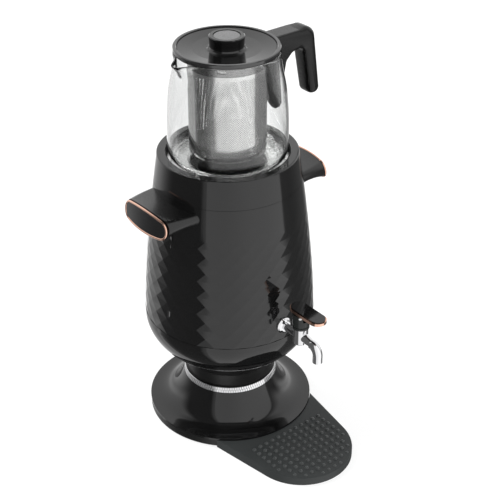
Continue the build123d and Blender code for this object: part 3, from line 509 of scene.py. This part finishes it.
def close_shell(bm, start):
    """Carry the top edge up to the seam under the collar and down the inside, to close the wall."""
    def is_at(edge, z):
        return all(abs(v.co.z - z * MM) < TOLERANCE for v in edge.verts)

    def boundary(z):
        return [e for e in bm.edges if e.is_boundary and is_at(e, z)]

    def raise_ring(edges, z, inset=0.0):
        made = bmesh.ops.extrude_edge_only(bm, edges=edges)["geom"]
        for v in (g for g in made if isinstance(g, bmesh.types.BMVert)):
            a = math.atan2(v.co.y, v.co.x)
            r = body_radius(z) - inset
            v.co = (r * math.cos(a) * MM, r * math.sin(a) * MM, z * MM)
        for f in (g for g in made if isinstance(g, bmesh.types.BMFace)):
            f.smooth = True
        return [g for g in made if isinstance(g, bmesh.types.BMEdge) and is_at(g, z)]

    edges = boundary(start)
    for i in range(1, SMOOTH_RINGS + 1):
        edges = raise_ring(edges, start + (SHELL_Z[1] - start) * i / SMOOTH_RINGS)
    for e in edges:
        e.smooth = False
    for z in (SHELL_Z[1], *INNER_Z):
        edges = raise_ring(edges, z, SHELL_WALL)
    foot = boundary(SHELL_Z[0])
    for e in foot:
        e.smooth = False
    raise_ring(foot, SHELL_Z[0], SHELL_WALL)
    bmesh.ops.bridge_loops(bm, edges=[e for e in bm.edges if e.is_boundary])
    bmesh.ops.recalc_face_normals(bm, faces=bm.faces)


# ---------------------------------------------------------------- knurled ring
RING_R = (54, 58.5, 60.2)       # inside, plain band and faces of the beads
RING_Z = (50.8, 58.6)
RING_BEADS = 120                # in each of two staggered rows
BEAD_ROOT = 0.3                 # how deep in the band a bead starts
BEAD_LEAN = 0.42                # how far its face leans back per height
# Half width over the pitch and the row's height, and how far out the layer lies
BEAD_LAYERS = ((0.44, 0.0), (0.43, 0.7), (0.39, 0.95), (0.33, 1.0))
BEAD_TIP = 1.06
BEAD_OUTLINE = ((-1, -1), (0, -BEAD_TIP), (1, -1), (BEAD_TIP, 0),
                (1, 1), (0, BEAD_TIP), (-1, 1), (-BEAD_TIP, 0))


def knurled_ring(material, shaded_root_material):
    """Two rows of round beads that stand apart on a plain band, which is darkened as painted shade
    between the beads.
    """
    inner, root, face_r = RING_R
    low, high = RING_Z
    row_height = (high - low) / 2
    pitch = 360 / RING_BEADS
    verts = []
    for r, z in ((inner, low), (root, low), (root, high), (inner, high)):
        verts += [polar(r, pitch * i, z) for i in range(RING_BEADS)]
    core_count = len(verts)
    faces = skin(loops(0, 4, RING_BEADS), joined=True)
    for row in range(2):
        middle = low + row_height * (row + 0.5)
        for bead in range(RING_BEADS):
            start = len(verts)
            for spread, out in BEAD_LAYERS:
                for da, dz in BEAD_OUTLINE:
                    lean = BEAD_LEAN * (1 + dz / BEAD_TIP) * spread * row_height
                    r = root - BEAD_ROOT + (face_r - root + BEAD_ROOT - lean) * out
                    verts.append(polar(r, (bead + 0.5 * row + da * spread) * pitch,
                                       middle + dz * spread * row_height))
            faces += skin(loops(start, len(BEAD_LAYERS), len(BEAD_OUTLINE)))
    piece = mesh_object("ring_beads", verts, faces, material, sharp=18)
    piece.data.materials.append(shaded_root_material)
    for face in piece.data.polygons:
        if all(v < core_count for v in face.vertices):
            face.material_index = 1
    return piece


# ---------------------------------------------------------------- spring
SPRING_Z = (180.6, 194.8)       # middle of the wire at the two ends
SPRING_R = 3.6
SPRING_WIRE = 0.4
SPRING_TURNS = 5
SPRING_Y = -137.5
SPRING_STEPS = 24               # for each turn
WIRE_SIDES = 8


def spring_coil(material):
    """Wire coil above the valve's cup, closed by a flat face at each end."""
    steps = SPRING_STEPS * SPRING_TURNS
    rise = SPRING_Z[1] - SPRING_Z[0]
    verts = []
    for k in range(steps + 1):
        turn = 2 * math.pi * SPRING_TURNS * k / steps
        z = SPRING_Z[0] + rise * k / steps
        for i in range(WIRE_SIDES):
            a = 2 * math.pi * i / WIRE_SIDES
            r = SPRING_R + SPRING_WIRE * math.cos(a)
            verts.append((r * math.cos(turn) * MM, (SPRING_Y + r * math.sin(turn)) * MM,
                          (z + SPRING_WIRE * math.sin(a)) * MM))
    faces = skin(loops(0, steps + 1, WIRE_SIDES))
    return mesh_object("spring_coil", verts, faces, material, sharp=60)


# ---------------------------------------------------------------- infuser
BASKET_R = 46.0
BASKET_WALL = 0.6
BASKET_Z = (373.8, 479.0)       # ends of the plain bands
SIEVE_Z = (378.0, 475.0)        # perforated part
SIEVE_COLUMNS = 110
SIEVE_OPEN = 0.56               # size of a hole in its cell


def sieve(material):
    """Perforated wall: a diagonal lattice with a diamond hole in each cell, between plain bands."""
    half = 180 / SIEVE_COLUMNS
    columns = 2 * SIEVE_COLUMNS
    levels = round((SIEVE_Z[1] - SIEVE_Z[0]) / (math.radians(half) * BASKET_R))
    levels += 1 - levels % 2
    rise = (SIEVE_Z[1] - SIEVE_Z[0]) / levels
    walls = (BASKET_R, BASKET_R - BASKET_WALL)
    verts, faces, index = [], [], {}

    def point(column, level, radius):
        key = (round(column, 4) % columns, round(level, 4), radius)
        if key not in index:
            index[key] = len(verts)
            verts.append(polar(radius, column * half, SIEVE_Z[0] + level * rise))
        return index[key]

    def diamond(column, level, radius, size=1):
        return [point(column + i * size, level + j * size, radius)
                for i, j in ((-1, 0), (0, -1), (1, 0), (0, 1))]

    for level in range(levels + 1):
        for column in range(level % 2, columns, 2):
            if level in (0, levels):
                inward = 1 if level == 0 else -1
                for radius in walls:
                    a, b, c = (point(column + i, level, radius) for i in (-1, 0, 1))
                    tip = point(column, level + inward, radius)
                    faces += [(a, b, tip), (b, c, tip)]
                continue
            holes = []
            for radius in walls:
                cell = diamond(column, level, radius)
                holes.append(diamond(column, level, radius, SIEVE_OPEN))
                faces += band(cell, holes[-1])
            faces += band(*holes)
    for level, z in zip((0, levels), BASKET_Z):
        rings = [[point(c, level, radius) for c in range(columns)] for radius in walls]
        ends = loops(len(verts), len(walls), columns)
        for radius in walls:
            verts.extend(polar(radius, c * half, z) for c in range(columns))
        faces += band(rings[0], ends[0]) + band(rings[1], ends[1]) + band(*ends)
    return mesh_object("infuser_sieve", verts, faces, material, sharp=30)


# ---------------------------------------------------------------- glass
GLASS_Z = (360.0, 377.0, 494.3)     # floor, end of the heel, rim
GLASS_WALL = 2.6
GLASS_R, BELLY_Z, BELLY_ARC = 72.0, 395.0, 440.0
SHOULDER_Z, SHOULDER_ARC = 443.0, 175.0
THROAT_Z, THROAT_ARC = 463.6, 160.0
# Radius and height over the floor, outside going up and inside going down
GLASS_HEEL = ((0, 0), (30, 0), (58.6, 0), (63.4, 1), (67.6, 3.8), (70.4, 8.2), (71.3, 12.6))
GLASS_HOLLOW = ((68.6, 13.2), (67.6, 9.6), (65.4, 6.6), (62, 4.6), (58, 3.9), (30, 3.9), (0, 3.9))
GLASS_STEPS = 28
GLASS_SEGMENTS = 192
RIM_ROUND = (0.5, 0.6)              # bevel of the rim: across and down
LIP_Z = 468.0                       # where the pouring lip starts
LIP_REACH, LIP_HALF, LIP_DROP, LIP_POWER = 15.8, 10.5, 0.09, 1.7
LIP_MIN_R = 50                      # the floor's inner points are left where they are


def arc_centre(radius, point, slope):
    """Centre of the arc that leaves a point of the side with a slope dr/dz."""
    length = math.hypot(1, slope)
    return point[0] - radius / length, point[1] + radius * slope / length


def glass_radius(z):
    """Outer radius of the glass at a height: belly, shoulder and hollow throat are tangent arcs."""
    def on_belly(height):
        return GLASS_R - BELLY_ARC + math.sqrt(BELLY_ARC ** 2 - (height - BELLY_Z) ** 2)

    if z <= SHOULDER_Z:
        return on_belly(z)
    knee = (on_belly(SHOULDER_Z), SHOULDER_Z)
    slope = -(SHOULDER_Z - BELLY_Z) / (knee[0] - GLASS_R + BELLY_ARC)
    r, middle = arc_centre(SHOULDER_ARC, knee, slope)
    if z <= THROAT_Z:
        return r + math.sqrt(SHOULDER_ARC ** 2 - (z - middle) ** 2)
    throat = (r + math.sqrt(SHOULDER_ARC ** 2 - (THROAT_Z - middle) ** 2), THROAT_Z)
    slope = -(THROAT_Z - middle) / (throat[0] - r)
    r, middle = arc_centre(-THROAT_ARC, throat, slope)
    return r - math.sqrt(THROAT_ARC ** 2 - (z - middle) ** 2)


def pot_lip(r, a, z):
    """Pull the rim out into a pouring lip at -X."""
    if z <= LIP_Z or r < LIP_MIN_R:
        return r, a, z
    t = min((z - LIP_Z) / (GLASS_Z[2] - LIP_Z), 1.0)
    across = math.radians(a % 360 - 180) * r / LIP_HALF
    pull = LIP_REACH * t ** LIP_POWER * math.exp(-across * across)
    return r + pull, a, z - LIP_DROP * pull


def glass_pot(material):
    """One blown shell: heel, side, rounded rim and the inside back down to the floor."""
    floor, heel_top, rim_z = GLASS_Z
    across, down = RIM_ROUND
    heights = [heel_top + (rim_z - heel_top) * i / GLASS_STEPS for i in range(GLASS_STEPS)]
    side = [(glass_radius(z), z) for z in heights]
    rim_r = glass_radius(rim_z)
    inner_r = rim_r - GLASS_WALL
    outline = [(r, floor + z) for r, z in GLASS_HEEL] + side
    outline += [(rim_r, rim_z - down), (rim_r - across, rim_z)]
    outline += [(inner_r + across, rim_z), (inner_r, rim_z - down)]
    outline += [(r - GLASS_WALL, z) for r, z in reversed(side)]
    outline += [(r, floor + z) for r, z in GLASS_HOLLOW]
    return lathe("pot_glass_blown", outline, material, GLASS_SEGMENTS, sharp=40, shape=pot_lip)


# ---------------------------------------------------------------- pot handle
ARM_TOP = 496.4
HANDLE_HALF = 13.0
LID_GAP_R = 62.9                # the arm stops short of the lid
STRAP_GAP = 5.2                 # and sits on the strap this far off the glass
SHARP_EDGE = 0.3                # edge radius of the faces that follow the lid and the strap
ROUND_EDGE = 0.5                # edges under this radius lie round the axis, as the lid does
# Side outline: x, z, radius of the corner, radius of the edges across it
HANDLE_CORNERS = ((LID_GAP_R, ARM_TOP, 0, SHARP_EDGE), (66, ARM_TOP, 0, 2.0),
                  (98, ARM_TOP + 0.2, 0, 2.2), (122.0, ARM_TOP + 3.2, 15, 6.4),
                  (135.9, 408.5, 8.6, 8.3), (118.2, 408.5, 8.6, 8.3),
                  (107.2, 472, 7, 6.8), (91, 472, 13, 5.0), (80, 464, 7, 3.0))
ROOT_Z = (444, 454, 464, 474, 484, 492.4)       # heights of the arm's end on the strap
BEND_STEPS = 8
OUTLINE_STEP = 4                # mm between points on the straight runs
EDGE_TURNS = (0, 15, 30, 45, 60, 75, 90)


def handle_outline():
    """Outline points as (x, z, edge radius), in order round the side face."""
    root = [(glass_radius(z) + STRAP_GAP, z, 0, SHARP_EDGE) for z in ROOT_Z]
    corners = [*HANDLE_CORNERS, *root, (LID_GAP_R, ROOT_Z[-1], 0, SHARP_EDGE)]
    points = []
    for i, (x, z, bend, edge) in enumerate(corners):
        here = Vector((x, z))
        if bend == 0:
            points.append((here, edge))
            continue
        back = (Vector(corners[i - 1][:2]) - here).normalized()
        ahead = (Vector(corners[(i + 1) % len(corners)][:2]) - here).normalized()
        half = back.angle(ahead) / 2
        centre = here + (back + ahead).normalized() * (bend / math.sin(half))
        arms = [here + way * (bend / math.tan(half)) - centre for way in (back, ahead)]
        start, end = (math.atan2(arm.y, arm.x) for arm in arms)
        sweep = (end - start + math.pi) % (2 * math.pi) - math.pi
        for k in range(BEND_STEPS + 1):
            a = start + sweep * k / BEND_STEPS
            points.append((centre + bend * Vector((math.cos(a), math.sin(a))), edge))
    dense = []
    for i, (p, edge) in enumerate(points):
        q, following = points[(i + 1) % len(points)]
        parts = max(1, round((q - p).length / OUTLINE_STEP))
        dense += [(p.lerp(q, k / parts), edge + (following - edge) * k / parts)
                  for k in range(parts)]
    return dense


def outward(points, i):
    """Unit normal of the outline, which runs clockwise, at one of its points."""
    along = points[(i + 1) % len(points)][0] - points[i - 1][0]
    return Vector((-along.y, along.x)).normalized()


def edge_point(points, i, side, turn):
    """Point across the rounded edge: turn from 0 on the outline to 90 degrees on the side face."""
    p, edge = points[i]
    t = math.radians(turn)
    q = p - outward(points, i) * (edge * (1 - math.cos(t)))
    y = side * (HANDLE_HALF - edge + edge * math.sin(t))
    x = math.sqrt(p.x ** 2 - y * y) if edge < ROUND_EDGE else q.x
    return (x * MM, y * MM, q.y * MM)


def pot_handle(material):
    """Arm and grip: flat on top at the lid, round as a finger rest down the grip."""
    points = handle_outline()
    rows = [(-1, turn) for turn in reversed(EDGE_TURNS)] + [(1, turn) for turn in EDGE_TURNS]
    verts = [edge_point(points, i, side, turn) for side, turn in rows for i in range(len(points))]
    faces = skin(loops(0, len(rows), len(points)))
    return mesh_object("pot_handle_soft", verts, faces, material, sharp=40)


STRIP_X = 119                   # the strip lies beyond this, between these heights
STRIP_Z = (409, 489)
STRIP_FACING = 0.5              # only where the outline faces out at least this much
STRIP_MARGIN = 1.2              # how far it goes round the edge
STRIP_SECTION = ((-1, 0.05), (-1, 0.55), (-0.55, 0.75), (0.55, 0.75), (1, 0.55), (1, 0.05))


def grip_strip(material):
    """Thin metal strip let into the back of the grip."""
    points = handle_outline()
    run = [i for i, (p, _) in enumerate(points)
           if p.x > STRIP_X and STRIP_Z[0] < p.y < STRIP_Z[1] and outward(points, i).x > STRIP_FACING]
    verts = []
    for i in run:
        p, edge = points[i]
        n = outward(points, i)
        for share, lift in STRIP_SECTION:
            q = p + n * lift
            verts.append((q.x * MM, share * (HANDLE_HALF - edge + STRIP_MARGIN) * MM, q.y * MM))
    faces = skin(loops(0, len(run), len(STRIP_SECTION)))
    return mesh_object("grip_strip", verts, faces, material, sharp=30)


INLAY_X = (LID_GAP_R + 0.2, 100.9)          # end at the lid, centre of the round end
INLAY_HALF = 10.4
INLAY_STEPS = 12                # round the far end
INLAY_NEAR_STEPS = 8            # along the end at the lid
INLAY_LAYERS = ((0.0, ARM_TOP - 0.6), (0.0, ARM_TOP + 0.1), (0.35, ARM_TOP + 0.32))   # inset, z


def arm_inlay(material):
    """Long pill let into the top of the arm, with a fine bevel."""
    near, end = INLAY_X
    rim = [(near, -INLAY_HALF)]
    for k in range(INLAY_STEPS + 1):
        a = math.pi * k / INLAY_STEPS
        rim.append((end + INLAY_HALF * math.sin(a), -INLAY_HALF * math.cos(a)))
    for k in range(INLAY_NEAR_STEPS):
        rim.append((near, INLAY_HALF * (1 - 2 * k / INLAY_NEAR_STEPS)))
    verts = []
    for inset, z in INLAY_LAYERS:
        for x, y in rim:
            y *= 1 - inset / INLAY_HALF
            x = x - inset if x > near else math.sqrt(near ** 2 - y * y)
            verts.append((x * MM, y * MM, z * MM))
    faces = skin(loops(0, len(INLAY_LAYERS), len(rim)))
    return mesh_object("arm_inlay", verts, faces, material, sharp=25)


# ---------------------------------------------------------------- rings of the side handles
PAD_CENTRE = (125.5, 316.0)     # middle of the face: distance from the axis and height
PAD_LEAN = math.atan(0.136)
PAD_CURVE = 250.0               # radius of the face along its length
PAD_CAP = (29.3, 12.5)          # centre and radius of the round ends
PAD_SIDE_R = 192.6              # long sides bulge to the half height below
PAD_HALF_HEIGHT = 14.9
PAD_STEPS = 14                  # for half of a side or of an end
RING_WIRE = 1.35
RING_PROUD = 0.15               # how far the ring stands out of the face
RING_SIDES = 12


def pad_path(inset):
    """Closed path round the face as (along, up), inset from its outline."""
    centre, cap = PAD_CAP
    middle = PAD_HALF_HEIGHT - PAD_SIDE_R
    tip = math.atan2(-middle, centre)
    side, end = [], []
    for k in range(-PAD_STEPS, PAD_STEPS + 1):
        a = math.pi / 2 - (math.pi / 2 - tip) * k / PAD_STEPS
        r = PAD_SIDE_R - inset
        side.append((r * math.cos(a), middle + r * math.sin(a)))
    for k in range(1, 2 * PAD_STEPS):
        a = tip - 2 * tip * k / (2 * PAD_STEPS)
        end.append((centre + (cap - inset) * math.cos(a), (cap - inset) * math.sin(a)))
    lower = [(x, -z) for x, z in reversed(side)]
    other = [(-x, -z) for x, z in end]
    return side + end + lower + other


def pad_ring(name, side, material):
    """Round metal wire in the edge of a handle's face; side is 1 for +X and -1 for -X."""
    path = pad_path(RING_WIRE)
    face_x, face_z = PAD_CENTRE
    away = Vector((math.cos(PAD_LEAN), 0, math.sin(PAD_LEAN)))
    up = Vector((-math.sin(PAD_LEAN), 0, math.cos(PAD_LEAN)))
    verts = []
    for i, (along, rise) in enumerate(path):
        before, after = path[i - 1], path[(i + 1) % len(path)]
        run = Vector((after[0] - before[0], after[1] - before[1])).normalized()
        out = Vector((0, -run.y, 0)) + up * run.x
        depth = PAD_CURVE - math.sqrt(PAD_CURVE ** 2 - along ** 2) + RING_WIRE - RING_PROUD
        core = Vector((face_x, along, face_z)) + up * rise - away * depth
        for k in range(RING_SIDES):
            a = 2 * math.pi * k / RING_SIDES
            p = core + RING_WIRE * (math.cos(a) * out + math.sin(a) * away)
            verts.append((side * p.x * MM, p.y * MM, p.z * MM))
    faces = skin(loops(0, len(path), RING_SIDES), joined=True)
    return mesh_object(name, verts, faces, material, sharp=60)


# ---------------------------------------------------------------- tray domes
TRAY_TOP = 11.0
TRAY_END_Y = -142.3             # centre of the tray's round end
DOME_PITCH = (9.7, 9.45)
DOME_ROWS = (-116.3, 10)        # first row's y, number of rows
DOME_COLUMNS = 12
DOME_FIELD = 61.2               # radius of the field about the tray's round end
DOME_R = 2.8
DOME_RISE = 2.3
DOME_SLIM = 0.55                # radius that would be left at size 0
DOME_SIDES = 16
DOME_PROFILE = ((1.0, -0.08), (0.96, 0.2), (0.84, 0.52), (0.62, 0.82), (0.32, 0.97))
BORDER_SIZE = 0.45              # size of a dome at the field's border
BORDER_WIDTH = 16               # mm over which the domes would grow by 1


def dome_centres():
    """Square grid inside the round end, with smaller domes towards its border."""
    first, rows = DOME_ROWS
    for row in range(rows):
        y = first - row * DOME_PITCH[1]
        for column in range(DOME_COLUMNS):
            x = (column - (DOME_COLUMNS - 1) / 2) * DOME_PITCH[0]
            reach = math.hypot(x, min(y - TRAY_END_Y, 0.0))
            if reach < DOME_FIELD:
                yield x, y, min(BORDER_SIZE + (DOME_FIELD - reach) / BORDER_WIDTH, 1.0)


def tray_domes(material):
    """Low round domes that stand on the tray's top."""
    verts, faces = [], []
    for x, y, size in dome_centres():
        start = len(verts)
        for share, rise in DOME_PROFILE:
            r = DOME_R * (DOME_SLIM + (1 - DOME_SLIM) * size) * share
            for i in range(DOME_SIDES):
                a = 2 * math.pi * i / DOME_SIDES
                verts.append(((x + r * math.cos(a)) * MM, (y + r * math.sin(a)) * MM,
                              (TRAY_TOP + DOME_RISE * size * rise) * MM))
        faces += skin(loops(start, len(DOME_PROFILE), DOME_SIDES))
    return mesh_object("tray_domes", verts, faces, material, sharp=60)


# ---------------------------------------------------------------- build
set_camera()
set_world()
set_stage()

dress(GLOSS, "lower_bowl", "top_collar", "foot_bell", "tap_lever", "lid_knob")
dress(HANDLE, "handle_left", "handle_right")
dress(BONNET, "tap_bonnet")
dress(INSERT, "handle_left_pad", "handle_right_pad")
dress(SATIN, "base_plate", "neck_collar", "pot_bracket", "thermostat")
dress(TRAY, "drip_tray")
dress(LID, "lid_plate")
dress(RIM, "lid_rim")
dress(CAP, "knob_cap")
dress(ROSE, "lever_trim")
dress(CHROME, "tap_flange", "tap_body", "tap_spout")
dress(STEEL, "water_tank", "tank_bracket", "tie_bolts", "clamp_washer", "base_screws",
      "handle_screws", "pot_screws", "knob_screw", "heating_element", "tap_stem", "stem_pin",
      "lever_pin", "infuser_base")
dress(SHADED_BAND_STEEL, "infuser_rim")
dress(BRIGHT_STEEL, "seat_dish")
dress(ALUMINIUM, "heater_plate")
dress(BRASS, "tap_nut", "knob_insert")
dress(RUBBER, "foot_ring", "seat_ring", "cord_gland")
dress(SILICONE, "lid_seal", "tap_gasket", "valve_cup")
dress(CONNECTOR, "terminal_block")

place(faceted_shell(GLOSS), "base", "black_gloss", "body_shell")
place(knurled_ring(CHROME, SHADED_GAP_METAL), "base", "chrome", "knurled_ring")
coil = place(spring_coil(STEEL), "base", "stainless", "tap_spring")
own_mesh(coil)
place(sieve(MESH_STEEL), "infuser", "stainless", "infuser_basket")
place(glass_pot(GLASS), "teapot", "clear_glass", "pot_glass")
place(pot_handle(GRIP), "teapot", "black_satin", "pot_handle")
place(arm_inlay(INLAY), "teapot", "lid_grey", "pot_handle_panel")
place(grip_strip(ROSE), "teapot", "rose_metal", "pot_handle_trim")
place(pad_ring("ring_left", -1, ROSE), "base", "rose_metal", "handle_left_trim")
place(pad_ring("ring_right", 1, ROSE), "base", "rose_metal", "handle_right_trim")
place(tray_domes(DOME), "tray", "tray_grey")
